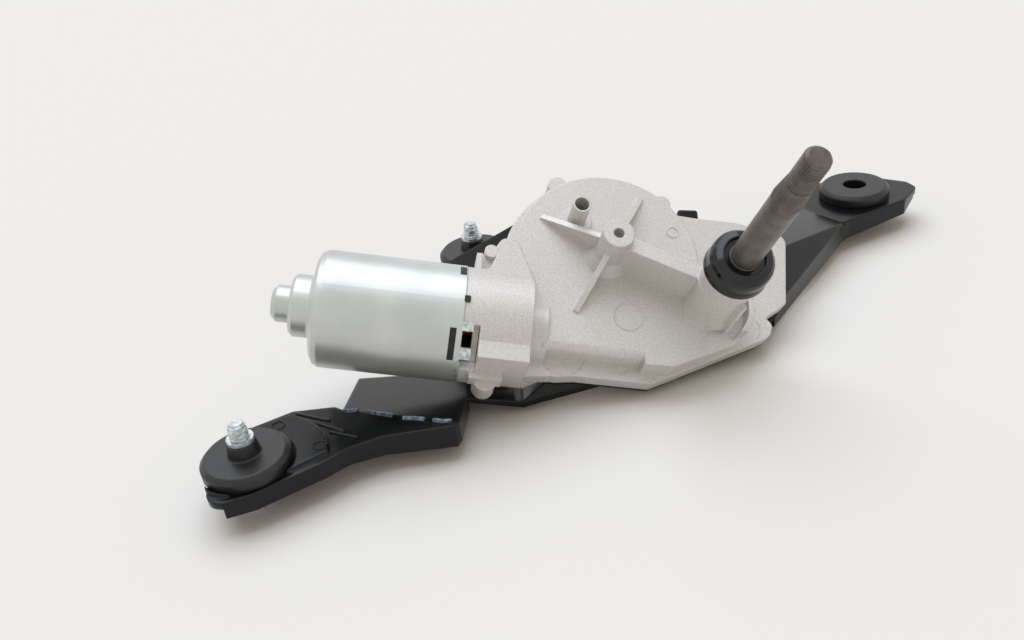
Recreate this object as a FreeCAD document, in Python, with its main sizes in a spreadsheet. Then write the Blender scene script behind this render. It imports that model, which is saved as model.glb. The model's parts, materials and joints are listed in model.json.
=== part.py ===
import FreeCAD, Part
import Sketcher
import math
import os
import re

# Rear wiper motor: a motor and worm gearbox with a tilted output shaft, on a three-legged bracket.
# Two frames are used. In the gear frame Z runs up the output shaft and X along the motor, and
# its origin is the worm wheel's centre on the housing's top. In the mount frame Z is square to
# the plane of the three grommets. Both are moved so that the part's origin is the point where
# the output shaft leaves its seal.

V = FreeCAD.Vector
doc = FreeCAD.newDocument("wiper_motor")
sheet = doc.addObject("Spreadsheet::Sheet", "sizes")

driving = {
    "lean_side": 15.0, "lean_back": 35.4,
    "shaft_x": 38.0, "shaft_y": -13.3, "shaft_dia": 10.4, "shaft_free_dia": 10.0,
    "shaft_top": 95.4, "shaft_foot": 19.4, "shaft_thread_dia": 8.0, "shaft_thread_len": 14.0,
    "shaft_taper_len": 9.0,
    "platform_dia": 68.4, "housing_depth": 15.0, "flange_level": 9.0, "ear_level": 7.6, "top_wall": 3.5,
    "wheel_room_dia": 56.0, "link_room_level": 11.4,
    "rim_dia": 74.0, "lug_dia": 7.0, "lug_reach": 1.5, "platform_front": 34.4, "tunnel_round": 3.0,
    "tower_dia": 19.0, "tower_top": 27.0, "tower_pad_dia": 33.0, "platform_right": 36.9,
    "tower_rib_top": 18.0, "tower_rib_angle": -57.0,
    "cap_dia": 22.0, "cap_top": 37.1, "cap_lip": 2.4, "cap_mouth": 1.2,
    "boss_dia": 11.0, "boss_top": 18.8, "boss_foot_dia": 17.0, "boss_hole_dia": 3.8,
    "rib_wall": 2.2, "wall_wall": 5.6, "vent_dia": 6.6, "vent_bore": 5.2, "vent_top": 13.0,
    "vent_x": -12.3, "vent_y": 13.3,
    "worm_y": -28.6, "worm_z": -8.8, "tunnel_dia": 17.6, "tunnel_end": 14.5, "worm_room_dia": 12.8,
    "worm_len": 17.0, "worm_pitch_dia": 9.2, "wheel_module": 0.8, "wheel_teeth": 60,
    "wheel_face": 7.0, "wheel_top": 5.3, "wheel_pin_dia": 6.0,
    "neck_dia": 22.0, "neck_x": -20.0, "neck_len": 6.6,
    "brush_house_dia": 40.6, "brush_house_wall": 3.0, "band_len": 5.8,
    "side_reach": 18.4, "side_top": 16.3, "side_low": 8.7,
    "can_dia": 41.2, "can_wall": 1.2, "can_front": -50.0, "can_len": 51.0,
    "pocket_dia": 22.0, "pocket_len": 8.0, "nose_dia": 13.0, "nose_len": 6.6,
    "arm_shaft_dia": 6.0, "arm_tail": -112.6, "arm_nose": 15.2,
    "core_dia": 23.0, "core_len": 26.0, "core_x": -88.0, "winding_reach": 7.0,
    "comm_dia": 11.0, "comm_len": 9.0, "comm_x": -52.0,
    "magnet_inner": 24.4, "magnet_len": 34.0, "magnet_x": -94.0,
    "pinion_teeth": 16, "sector_teeth": 28, "gear_module": 1.0,
    "crank_r": 9.0, "link_len": 40.0, "link_top": 14.0, "link_wall": 3.0, "rocker_wall": 1.6,
    "plate_gap": 0.3, "cover_wall": 1.5, "pan_floor": 20.6, "pan_wall": 1.5,
    "sheet_wall": 2.5, "clip_room_dia": 11.5, "clip_room": 1.7,
    "grommet_dia": 30.0, "grommet_top": -24.0, "grommet_height": 14.5, "grommet_lip": 5.0,
    "grommet_low_dia": 26.4, "grommet_neck_dia": 19.0, "grommet_bore": 10.0, "bush_dia": 9.9,
    "collar_dia": 11.0, "collar_height": 5.0,
    "stud_dia": 6.0, "stud_reach": 12.0, "stud_tip": 2.4, "stud_head_dia": 12.0, "stud_head": 5.4,
    "stud_flange_dia": 9.0,
    "left_x": -126.5, "left_y": -61.1, "rear_x": -53.2, "rear_y": 70.2,
    "right_x": 118.9, "right_y": 90.7,
    "socket_x": 30.0, "socket_y": 17.0, "socket_width": 17.0, "socket_height": 15.0,
    "socket_len": 16.0, "pin_reach": 5.5, "socket_wall": 1.8, "running": 0.05,
}
for row, (alias, value) in enumerate(driving.items(), start=1):
    sheet.set("A%d" % row, alias.replace("_", " "))
    sheet.set("B%d" % row, str(value))
    sheet.setAlias("B%d" % row, alias)
doc.recompute()


def size(alias):
    return float(sheet.get(alias))


def formula(text):
    return re.sub(r"[a-z_]+", lambda word: "sizes." + word.group() if word.group() in driving
                  else word.group(), str(text))


def bound(obj, **props):
    for prop, text in props.items():
        obj.setExpression(prop, formula(text))
    return obj


def primitive(kind, name, at=(0, 0, 0), turn=None, **props):
    obj = doc.addObject("Part::" + kind, name)
    if turn:
        obj.Placement = FreeCAD.Placement(V(), turn)
    for letter, text in zip("xyz", at):
        obj.setExpression("Placement.Base." + letter, formula(text))
    return bound(obj, **props)


along_x = FreeCAD.Rotation(V(0, 1, 0), 90)


def rod(name, dia, length, at=(0, 0, 0), turn=None):
    return primitive("Cylinder", name, at, turn, Radius="(%s) / 2" % dia, Height=length)


def cone(name, dia_low, dia_high, length, at=(0, 0, 0), turn=None):
    return primitive("Cone", name, at, turn, Radius1="(%s) / 2" % dia_low,
                     Radius2="(%s) / 2" % dia_high, Height=length)


def block(name, length, width, height, at=(0, 0, 0), turn=None):
    return primitive("Box", name, at, turn, Length=length, Width=width, Height=height)


def joined(name, *parts):
    obj = doc.addObject("Part::MultiFuse", name)
    obj.Shapes = list(parts)
    return obj


def cut(name, base, *tools):
    obj = doc.addObject("Part::Cut", name)
    obj.Base = base
    obj.Tool = tools[0] if len(tools) == 1 else joined(name + "_tools", *tools)
    return obj


def outline(sketch, points):
    """Closed polygon whose corners are held by formulas from the sketch's origin."""
    values = [[evaluated(text) for text in point] for point in points]
    count = len(points)
    for i in range(count):
        sketch.addGeometry(Part.LineSegment(V(*values[i]), V(*values[(i + 1) % count])), False)
    for i in range(count):
        sketch.addConstraint(Sketcher.Constraint("Coincident", i, 2, (i + 1) % count, 1))
    for i, point in enumerate(points):
        for kind, axis, text, value in zip(("DistanceX", "DistanceY"), (-2, -1), point, values[i]):
            if str(text) == "0":
                sketch.addConstraint(Sketcher.Constraint("PointOnObject", i, 1, axis))
                continue
            index = sketch.addConstraint(Sketcher.Constraint(kind, -1, 1, i, 1, value))
            sketch.setExpression("Constraints[%d]" % index, formula(text))


def evaluated(text):
    words = re.sub(r"[a-z_]+", lambda word: repr(size(word.group())) if word.group() in driving
                   else word.group(), str(text))
    probe.set("A1", "=" + words)
    probe.recompute()
    return float(probe.get("A1"))


probe = doc.addObject("Spreadsheet::Sheet", "probe")


def origin_plane(body, role):
    return next(item for item in body.Origin.OriginFeatures if item.Role == role)


def turned(name, profile):
    """Solid turned about Z from a half profile of (radius, height) pairs."""
    body = doc.addObject("PartDesign::Body", name)
    sketch = body.newObject("Sketcher::SketchObject", name + "_profile")
    sketch.AttachmentSupport = [(origin_plane(body, "XZ_Plane"), "")]
    sketch.MapMode = "FlatFace"
    outline(sketch, profile)
    turn = body.newObject("PartDesign::Revolution", name + "_turn")
    turn.Profile = sketch
    turn.ReferenceAxis = (sketch, ["V_Axis"])
    turn.Angle = 360
    body.Tip = turn
    return body


def padded(name, points, height):
    """Flat piece padded up from Z = 0 over a polygon."""
    body = doc.addObject("PartDesign::Body", name)
    sketch = body.newObject("Sketcher::SketchObject", name + "_outline")
    sketch.AttachmentSupport = [(origin_plane(body, "XY_Plane"), "")]
    sketch.MapMode = "FlatFace"
    outline(sketch, points)
    pad = body.newObject("PartDesign::Pad", name + "_pad")
    pad.Profile = sketch
    pad.setExpression("Length", formula(height))
    body.Tip = pad
    return body


def at(obj, x=0, y=0, z=0, turn=None):
    if turn:
        obj.Placement = FreeCAD.Placement(V(), turn)
    for letter, text in zip("xyz", (x, y, z)):
        obj.setExpression("Placement.Base." + letter, formula(text))
    return obj


def feature(name, shape):
    obj = doc.addObject("Part::Feature", name)
    obj.Shape = shape
    return obj


def rounded_face(points):
    """Face inside a polygon of (x, y, corner radius)."""
    count = len(points)
    edges, starts = [], []
    for i in range(count):
        x, y, radius = points[i]
        corner = V(x, y, 0)
        before = V(points[i - 1][0], points[i - 1][1], 0)
        after = V(points[(i + 1) % count][0], points[(i + 1) % count][1], 0)
        to_before, to_after = (before - corner), (after - corner)
        to_before.normalize()
        to_after.normalize()
        half = math.acos(max(-1, min(1, to_before.dot(to_after)))) / 2
        if radius <= 0 or abs(half - math.pi / 2) < 1e-3:
            starts.append((corner, corner, None))
            continue
        reach = radius / math.tan(half)
        first, last = corner + to_before * reach, corner + to_after * reach
        middle_way = to_before + to_after
        middle_way.normalize()
        middle = corner + middle_way * (radius / math.sin(half) - radius)
        starts.append((first, last, middle))
    for i in range(count):
        first, last, middle = starts[i]
        if middle is not None:
            edges.append(Part.Arc(first, middle, last).toShape())
        following = starts[(i + 1) % count][0]
        if last.distanceToPoint(following) > 1e-6:
            edges.append(Part.LineSegment(last, following).toShape())
    return Part.Face(Part.Wire(edges))


def prism(points, low, high, grow=0):
    """Upright prism over an outline, which may be grown outwards by a wall or a clearance."""
    face = rounded_face(points)
    if grow:
        face = face.makeOffset2D(grow)
    face.translate(V(0, 0, low))
    return face.extrude(V(0, 0, high - low))


# Frames

tilt = FreeCAD.Rotation(V(0, 1, 0), size("lean_side")) * FreeCAD.Rotation(V(1, 0, 0), size("lean_back"))
shaft_exit = V(size("shaft_x"), size("shaft_y"), size("cap_top"))
part_origin = tilt.multVec(shaft_exit)
gear_frame = FreeCAD.Placement(part_origin * -1, tilt)
mount_frame = FreeCAD.Placement(part_origin * -1, FreeCAD.Rotation())


def from_gear(x, y, z):
    return tilt.multVec(V(x, y, z))


pieces = {}


def piece(node, obj, frame=gear_frame):
    """Names a finished piece and moves it from its own frame to the part's."""
    obj.Label = node
    doc.recompute()
    local = obj.Placement
    for letter in "xyz":
        obj.setExpression("Placement.Base." + letter, None)
    obj.Placement = frame * local
    pieces[node] = obj
    return obj


# Gear housing

shaft_x, shaft_y = size("shaft_x"), size("shaft_y")
depth = size("housing_depth")
base_outline = [
    (-18.5, -45, 3), (-8, -43.4, 6), (19, -43.2, 3), (25, -40.2, 4), (56, -23.6, 4), (59.8, -21.6, 3),
    (63.6, -19, 3), (64.6, -14.6, 2.5), (62, -12, 1), (70.2, -5.2, 2), (71.5, 23.7, 4), (52, 27, 3),
    (36.5, 26.8, 1),
    (24, 27.2, 2), (12, 20, 3), (0, 10, 3), (-33, 16, 3), (-33, -5, 3), (-21, -6, 2), (-18.5, -15, 2),
]
ear_outline = [(-24, -14, 2), (-24, 4, 2), (-33, 8.6, 2.5), (-37.8, 7.6, 3), (-41, 2, 2), (-46.8, -1.5, 1),
               (-46.8, -14, 1)]
ear_top = [(-26.7, -17.5, 0), (-29.6, -10.4, 1), (-33, -2.9, 2), (-36.1, -1.1, 2), (-38.9, -3, 1),
           (-40.6, -8.4, 2), (-43.9, -17.5, 0), (-40, -20, 0), (-28, -20, 0)]
front_outline = [(-26.8, -45.6, 1), (-8, -43.4, 6), (-8, -20, 3), (-26.8, -20, 1)]
lug_angles = (118.8, 54.6)
link_room = [
    (18, -22, 3), (30, -26, 5), (48, -22.5, 6), (58, -12, 6), (66, -2, 5), (66, 19.5, 6),
    (42, 20, 5), (34, 15, 6), (26, 16.5, 6), (12, 20, 8), (-8, 16, 8), (-19, 4, 10), (-17, -14, 10),
    (0, -19, 8),
]


def base_plate(low, high, grow=0):
    """Plate over the housing's footprint: front part, round rim and two lugs at the back."""
    rim = Part.makeCylinder(size("rim_dia") / 2 + grow, high - low, V(0, 0, low))
    lug_at = V(size("rim_dia") / 2 + size("lug_reach"), 0, low)
    ears = [Part.makeCylinder(size("lug_dia") / 2 + grow, high - low,
        FreeCAD.Rotation(V(0, 0, 1), angle).multVec(lug_at))
            for angle in lug_angles]
    return prism(base_outline, low, high, grow).fuse([rim] + ears)


def motor_gap(low, high):
    """Space beside the gearbox that the neck and the brush housing take."""
    neck_side = size("worm_y") + size("neck_dia") / 2 + 0.3
    house_side = size("worm_y") + size("brush_house_dia") / 2 + 0.2
    house_end = size("neck_x") - size("neck_len") + 0.2
    return Part.makeBox(60, 60, high - low, V(size("neck_x") + 0.1 - 60, neck_side - 60, low)).fuse(
        Part.makeBox(60, 60, high - low, V(house_end - 60, house_side - 60, low)))


dome = turned("dome", [
    ("0", "-housing_depth"), ("platform_dia / 2", "-housing_depth"), ("platform_dia / 2", "-0.5"),
    ("platform_dia / 2 - 0.4", "0"), ("0", "0")])
flange = feature("flange", base_plate(-depth, -size("flange_level")).fuse(
    [prism(ear_outline, -depth, -size("flange_level")), prism(front_outline, -depth, -size("flange_level"))]))
platform_front = block("platform_front", "tunnel_end - neck_x + 1.6", "platform_front - 15", "housing_depth",
                       ("neck_x - 1.6", "-platform_front", "-housing_depth"))
tunnel_round = rod("tunnel_edge", "2 * tunnel_round", "tunnel_end - neck_x + 1.6",
                   ("neck_x - 1.6", "-platform_front", "-tunnel_round"), along_x)
tunnel_wall = block("tunnel_wall", "tunnel_end - neck_x + 1.6", "tunnel_round + 1",
    "housing_depth - tunnel_round",
                    ("neck_x - 1.6", "-platform_front - tunnel_round", "-housing_depth"))
tower_pad = rod("tower_pad", "tower_pad_dia", "housing_depth", ("shaft_x", "shaft_y", "-housing_depth"))
front_block = padded("front_block", [
    ("tunnel_end", "worm_y - 11"), (24.7, "worm_y - 10.7"), (37, "worm_y - 4.7"), (49.5, "shaft_y - 12"),
    ("shaft_x", "shaft_y"), (20, 0), (0, 0), (0, "worm_y"), ("tunnel_end", "worm_y")], "housing_depth")
at(front_block, z="-housing_depth")
slope = feature("front_slope", Part.Face(Part.makePolygon([
    V(size("platform_right"), -45, 0.5), V(size("platform_right"), -45, 0), V(56, -45, -size("flange_level")),
    V(60, -45, 0.5), V(size("platform_right"), -45, 0.5)])).extrude(V(0, 22.5, 0)))
front_block = cut("front_sloped", joined("front_raised", front_block, tower_pad), slope)
neck = rod("neck", "neck_dia", "neck_len + 2", ("neck_x - neck_len - 2", "worm_y", "worm_z"), along_x)
brush_round = rod("brush_round", "brush_house_dia", "neck_x - neck_len - can_front",
                  ("can_front", "worm_y", "worm_z"), along_x)
side_trim = block("side_trim", "neck_x - neck_len - can_front", 10, "brush_house_dia",
                  ("can_front + band_len", "worm_y - side_reach - 10", "worm_z - brush_house_dia / 2"))
brush_house = cut("brush_house", brush_round, side_trim)
brush_side = block("brush_side", "neck_x - neck_len - can_front - band_len", "side_reach",
    "side_top + side_low",
                   ("can_front + band_len", "worm_y - side_reach", "worm_z - side_low"))
front_lug = block("front_lug", 11.5, 6, 6, ("can_front + 4", "worm_y - side_reach - 3.2", "worm_z - 1.2"))
front_nub = rod("front_nub", 8, 9, ("can_front + 10", "worm_y - side_reach - 1.8", "worm_z - 8.2"))
tower = rod("tower", "tower_dia", "tower_top + 1", ("shaft_x", "shaft_y", -1))
tower_foot = cone("tower_foot", "tower_dia + 2", "tower_dia", 4, ("shaft_x", "shaft_y", -0.5))
boss = rod("boss", "boss_dia", "boss_top + 1", (0, 0, -1))
boss_foot = cone("boss_foot", "boss_foot_dia", "boss_dia", 5, (0, 0, -0.5))
vent = rod("vent", "vent_dia", "vent_top + 1", ("vent_x", "vent_y", -1))
vent_foot = rod("vent_foot", "vent_dia + 5", 2, ("vent_x", "vent_y", -1))


def gusset(name, tip_x, tip_y, top):
    """Upright triangular rib, full height at the boss and nothing at its tip."""
    way = V(tip_x, tip_y, 0)
    reach = way.Length
    way.normalize()
    side = V(-way.y, way.x, 0) * (size("rib_wall") / 2)
    corners = [V(0, 0, -1), V(0, 0, top), way * reach + V(0, 0, 0.6), way * reach + V(0, 0, -1)]
    wire = Part.makePolygon([corner - side for corner in corners + corners[:1]])
    return feature(name, Part.Face(wire).extrude(side * 2))


ribs = [gusset("rib_left", -25, 13.8, 13.5), gusset("rib_rear", 11.8, 26.6, 13.5),
        gusset("rib_front", -10.8, -23, 13.5)]
wall_way = V(shaft_x, shaft_y, 0)
wall_side = V(-wall_way.y, wall_way.x, 0)
wall_side.normalize()
wall_half = wall_side * (size("wall_wall") / 2)
wall_corners = [V(0, 0, -1), V(0, 0, size("boss_top") - 3.6), wall_way + V(0, 0, size("boss_top") - 1.5),
                wall_way + V(0, 0, -1)]
wall = feature("wall", Part.Face(Part.makePolygon(
    [corner - wall_half for corner in wall_corners + wall_corners[:1]])).extrude(wall_half * 2))
ear_knob = rod("ear_knob", 5.2, "housing_depth - 6.5", (-41.5, 0.6, "-housing_depth"))
ear_strip = block("ear_strip", 2.2, 12, "housing_depth - 5", (-46.8, -13.5, "-housing_depth"))
ear_block = feature("ear_block", prism(ear_top, -depth, size("ear_level")))
rib_solid = Part.makeBox(4.4, size("rib_wall"), size("tower_rib_top") + 8,
                         V(size("tower_dia") / 2 - 2.4, -size("rib_wall") / 2, -8))
rib_solid.rotate(V(), V(0, 0, 1), size("tower_rib_angle"))
rib_solid.translate(V(shaft_x, shaft_y, 0))
tower_rib = feature("tower_rib", rib_solid)
housing_solid = joined("housing_solid", dome, flange, ear_block, front_block, platform_front, tunnel_round,
                       tunnel_wall, neck, brush_house, brush_side, front_lug, front_nub, tower, tower_foot,
                       boss, boss_foot, vent, vent_foot, ear_knob, ear_strip, tower_rib, wall, *ribs)

brush_window = block("brush_window", "band_len + 0.1", 14, 15.5,
    ("can_front - 0.1", "worm_y - 22", "worm_z + 6.3"))
pocket_ring = Part.makeCylinder(size("tower_pad_dia") / 2 - 2, 8, V(shaft_x, shaft_y, -6.5), V(0, 0, 1),
    78).cut(
    Part.makeCylinder(size("tower_dia") / 2 + 0.1, 8, V(shaft_x, shaft_y, -6.5)))
pocket_ring.rotate(V(shaft_x, shaft_y, 0), V(0, 0, 1), -48)
tower_pocket = feature("tower_pocket", pocket_ring)
wheel_room = rod("wheel_room", "wheel_room_dia", "housing_depth - top_wall + 1", (0, 0, "-housing_depth - 1"))
link_space = feature("link_space", prism(link_room, -depth - 1, -size("link_room_level")))
worm_room = rod("worm_room", "worm_room_dia", "tunnel_end - 1 - neck_x + 2",
                ("neck_x - 2", "worm_y", "worm_z"), along_x)
worm_mouth = block("worm_mouth", "tunnel_end - 1 - neck_x - 3", "worm_room_dia", "housing_depth + worm_z + 6",
                   ("neck_x + 3", "worm_y - worm_room_dia / 2", "-housing_depth - 6"))
tunnel_sole = block("tunnel_sole", "tunnel_end - neck_x + 2", "tunnel_dia + 2", 6,
                    ("neck_x", "worm_y - tunnel_dia / 2 - 1", "-housing_depth - 6"))
nose_bore = rod("nose_bore", "arm_shaft_dia + 2 * running", "arm_nose + 1.4",
                (0, "worm_y", "worm_z"), along_x)
front_bearing_seat = rod("front_bearing_seat", "arm_shaft_dia + 8", "neck_len + 2.4",
                         ("neck_x - neck_len - 4", "worm_y", "worm_z"), along_x)
shaft_bore = rod("shaft_bore", "shaft_dia + 4.02", "tower_top + housing_depth + 2",
                 ("shaft_x", "shaft_y", "-housing_depth - 1"))
brush_room = rod("brush_room", "brush_house_dia - 2 * brush_house_wall",
    "neck_x - neck_len - can_front - 2.6",
                 ("can_front - 1", "worm_y", "worm_z"), along_x)
pin_bore = rod("pin_bore", "wheel_pin_dia", "boss_top - 6 + top_wall + 1", (0, 0, "-top_wall - 1"))
boss_hole = rod("boss_hole", "boss_hole_dia", 8, (0, 0, "boss_top - 5"))
vent_hole = rod("vent_hole", "vent_bore", "vent_top + top_wall + 2", ("vent_x", "vent_y", "-top_wall - 1"))
gear_housing = cut("gear_housing", housing_solid, wheel_room, link_space, worm_room, worm_mouth,
                   tunnel_sole, nose_bore, front_bearing_seat, shaft_bore, brush_room, pin_bore, boss_hole,
                   vent_hole, brush_window, tower_pocket)
piece("gear_housing", gear_housing)

# Output shaft, its bushes, seal and linkage

output_shaft = turned("output_shaft_body", [
    ("0", "-shaft_foot"), ("shaft_dia / 2", "-shaft_foot"), ("shaft_dia / 2", "cap_top - cap_mouth / 2"),
    ("shaft_free_dia / 2", "cap_top - cap_mouth / 2"),
    ("shaft_free_dia / 2", "shaft_top - shaft_thread_len - shaft_taper_len"),
    ("shaft_thread_dia / 2 + 0.3", "shaft_top - shaft_thread_len"),
    ("shaft_thread_dia / 2", "shaft_top - shaft_thread_len"),
    ("shaft_thread_dia / 2", "shaft_top - 0.8"), ("shaft_thread_dia / 2 - 0.8", "shaft_top"),
    ("0", "shaft_top")])
at(output_shaft, "shaft_x", "shaft_y")
piece("output_shaft", output_shaft)

for node, low, high in (("upper_bush", "tower_top - 10", "tower_top"), ("lower_bush", "-top_wall", 7)):
    bush = cut(node + "_ring", rod(node + "_outer", "shaft_dia + 4", "%s - (%s)" % (high, low)),
               rod(node + "_inner", "shaft_dia + 2 * running", "%s - (%s) + 2" % (high, low), (0, 0, -1)))
    at(bush, "shaft_x", "shaft_y", low)
    piece(node, bush)

cap = turned("seal_cap_body", [
    ("shaft_dia / 2 + running", "cap_top - cap_lip + 0.4"),
    ("shaft_dia / 2 + running", "cap_top - cap_mouth"),
    ("shaft_dia / 2 + 1.6", "cap_top - cap_mouth"), ("shaft_dia / 2 + 1.9", "cap_top"),
    ("cap_dia / 2 - 3.4", "cap_top"), ("cap_dia / 2 - 1.5", "cap_top - 0.6"),
    ("cap_dia / 2 - 0.4", "cap_top - 1.8"),
    ("cap_dia / 2", "cap_top - 3.4"), ("cap_dia / 2", "cap_top - 6.4"),
    ("cap_dia / 2 - 0.6", "cap_top - 6.8"),
    ("cap_dia / 2 - 0.6", "cap_top - 7.2"), ("cap_dia / 2", "cap_top - 7.6"),
    ("cap_dia / 2 + 0.3", "tower_top + 0.6"),
    ("cap_dia / 2", "tower_top"), ("shaft_dia / 2 + 1.5", "tower_top"),
    ("shaft_dia / 2 + 1.5", "cap_top - cap_lip + 0.4")])
at(cap, "shaft_x", "shaft_y")
piece("shaft_seal_cap", cap)

module = size("gear_module")
pinion_r = module * size("pinion_teeth") / 2
sector_r = module * size("sector_teeth") / 2
rocker_r = pinion_r + sector_r


def involute_teeth(teeth, tooth_module, first, last, backlash=0.24, press=math.radians(22)):
    """Tooth flank points about the centre, tooth 0 on +X, from tooth first to tooth last."""
    pitch_r = tooth_module * teeth / 2
    base_r = pitch_r * math.cos(press)
    tip_r, root_r = pitch_r + 0.92 * tooth_module, pitch_r - 1.22 * tooth_module
    half_at_pitch = math.pi / (2 * teeth) - backlash / (2 * pitch_r)
    pitch_roll = math.tan(press) - press

    def half_angle(radius):
        if radius <= base_r:
            return half_at_pitch + pitch_roll
        roll = math.acos(base_r / radius)
        return half_at_pitch + pitch_roll - (math.tan(roll) - roll)

    radii = [root_r, max(base_r, root_r + 0.02), pitch_r, (pitch_r + tip_r) / 2, tip_r]
    radii = sorted(set(radii))
    points = []
    for tooth in range(first, last + 1):
        centre = tooth * 2 * math.pi / teeth
        for radius in radii:
            angle = centre - half_angle(radius)
            points.append(V(radius * math.cos(angle), radius * math.sin(angle), 0))
        for radius in reversed(radii):
            angle = centre + half_angle(radius)
            points.append(V(radius * math.cos(angle), radius * math.sin(angle), 0))
    return points


# Four-bar linkage: wheel centre, crank, link, rocker about the output shaft

span = math.hypot(shaft_x, shaft_y)
span_angle = math.atan2(shaft_y, shaft_x)


def linkage(reach):
    """Rocker and link directions when the wheel's centre, crank pin and rocker pin are in line."""
    at_shaft = math.acos((span ** 2 + rocker_r ** 2 - reach ** 2) / (2 * span * rocker_r))
    at_wheel = math.acos((span ** 2 + reach ** 2 - rocker_r ** 2) / (2 * span * reach))
    return math.pi - at_shaft + span_angle, at_wheel + span_angle


crank_r, link_len = size("crank_r"), size("link_len")
rocker_start, link_start = linkage(link_len - crank_r)
rocker_end, link_end = linkage(link_len + crank_r)
shaft_centre = V(shaft_x, shaft_y, 0)
rocker_pin_at = shaft_centre + V(math.cos(rocker_start), math.sin(rocker_start), 0) * rocker_r
crank_pin_at = rocker_pin_at - V(math.cos(link_start), math.sin(link_start), 0) * link_len
gear_ratio = sector_r / pinion_r
rocker_move = rocker_end - rocker_start
link_move = link_end - link_start
shaft_move = rocker_move * (1 + gear_ratio) - link_move * gear_ratio

link_low, link_high = -size("link_top") - size("link_wall"), -size("link_top")
teeth_points = involute_teeth(int(size("pinion_teeth")), module, 0,
                                                       int(size("pinion_teeth")) - 1)
pinion_face = Part.Face(Part.makePolygon(teeth_points + teeth_points[:1]))
pinion_shape = pinion_face.extrude(V(0, 0, size("link_wall")))
pinion_shape = pinion_shape.cut(Part.makeCylinder(size("shaft_dia") / 2, 20, V(0, 0, -5)))
# A gap of the pinion faces the rocker pin
half_pitch = math.pi / size("pinion_teeth")
pinion = feature("pinion_gear", pinion_shape)
pinion.Placement = FreeCAD.Placement(V(shaft_x, shaft_y, link_low),
                                     FreeCAD.Rotation(V(0, 0, 1), math.degrees(rocker_start + half_pitch)))
piece("output_pinion", pinion)

facing = rocker_start + math.pi
sector_span = link_move - rocker_move
first_tooth, last_tooth = -2, 2
extra = int(math.ceil(abs(sector_span) / (2 * math.pi / size("sector_teeth"))))
if sector_span < 0:
    last_tooth += extra
else:
    first_tooth -= extra
sector_points = involute_teeth(int(size("sector_teeth")), module,
                                                        first_tooth, last_tooth)
sector_face = Part.Face(Part.makePolygon([V(0, 0, 0)] + sector_points + [V(0, 0, 0)]))
sector_teeth = sector_face.extrude(V(0, 0, size("link_wall")))
sector_teeth.Placement = FreeCAD.Placement(V(rocker_pin_at.x, rocker_pin_at.y, link_low),
                                           FreeCAD.Rotation(V(0, 0, 1), math.degrees(facing)))
link_way = crank_pin_at - rocker_pin_at
link_side = V(-link_way.y, link_way.x, 0)
link_side.normalize()
pin_dia = size("wheel_pin_dia")
arm_shape = Part.Face(Part.makePolygon([
    rocker_pin_at + link_side * 6 + V(0, 0, link_low), rocker_pin_at - link_side * 6 + V(0, 0, link_low),
    crank_pin_at - link_side * 4.2 + V(0, 0, link_low), crank_pin_at + link_side * 4.2 + V(0, 0, link_low),
    rocker_pin_at + link_side * 6 + V(0, 0, link_low)])).extrude(V(0, 0, size("link_wall")))
link_shape = sector_teeth.fuse([
    arm_shape, Part.makeCylinder(6.5, size("link_wall"), rocker_pin_at + V(0, 0, link_low)),
    Part.makeCylinder(5.6, size("link_wall"), crank_pin_at + V(0, 0, link_low))])
for hole_at in (rocker_pin_at, crank_pin_at):
    link_shape = link_shape.cut(Part.makeCylinder(pin_dia / 2, 20, hole_at + V(0, 0, link_low - 5)))
sector_link = feature("sector_plate", link_shape.removeSplitter())
piece("sector_link", sector_link)

rocker_wall, gap = size("rocker_wall"), size("plate_gap")
crank_pin = feature("crank_pin_rod", Part.makeCylinder(
    pin_dia / 2, -size("wheel_top") - size("wheel_face") - gap - link_low,
    crank_pin_at + V(0, 0, link_low)))
piece("crank_pin", crank_pin)
rocker_pin = feature("rocker_pin_rod", Part.makeCylinder(
    pin_dia / 2, size("link_wall") + 2 * (gap + rocker_wall),
    rocker_pin_at + V(0, 0, link_low - gap - rocker_wall)))
piece("rocker_pin", rocker_pin)


def rocker_plate(low):
    shape = Part.makeCylinder(8.6, rocker_wall, shaft_centre + V(0, 0, low))
    way = rocker_pin_at - shaft_centre
    side = V(-way.y, way.x, 0)
    side.normalize()
    bar = Part.Face(Part.makePolygon([point + V(0, 0, low) for point in (
        shaft_centre + side * 6.4, shaft_centre - side * 6.4, rocker_pin_at - side * 5,
        rocker_pin_at + side * 5,
        shaft_centre + side * 6.4)])).extrude(V(0, 0, rocker_wall))
    shape = shape.fuse([bar, Part.makeCylinder(5.4, rocker_wall, rocker_pin_at + V(0, 0, low))])
    shape = shape.cut(Part.makeCylinder(size("shaft_dia") / 2 + size("running"), 20,
        shaft_centre + V(0, 0, low - 5)))
    return shape.cut(Part.makeCylinder(pin_dia / 2 + size("running"), 20, rocker_pin_at + V(0, 0, low - 5)))


piece("rocker_plate_upper", feature("rocker_upper", rocker_plate(link_high + gap)))
piece("rocker_plate_lower", feature("rocker_lower", rocker_plate(link_low - gap - rocker_wall)))

# Worm wheel on its pin

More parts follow.
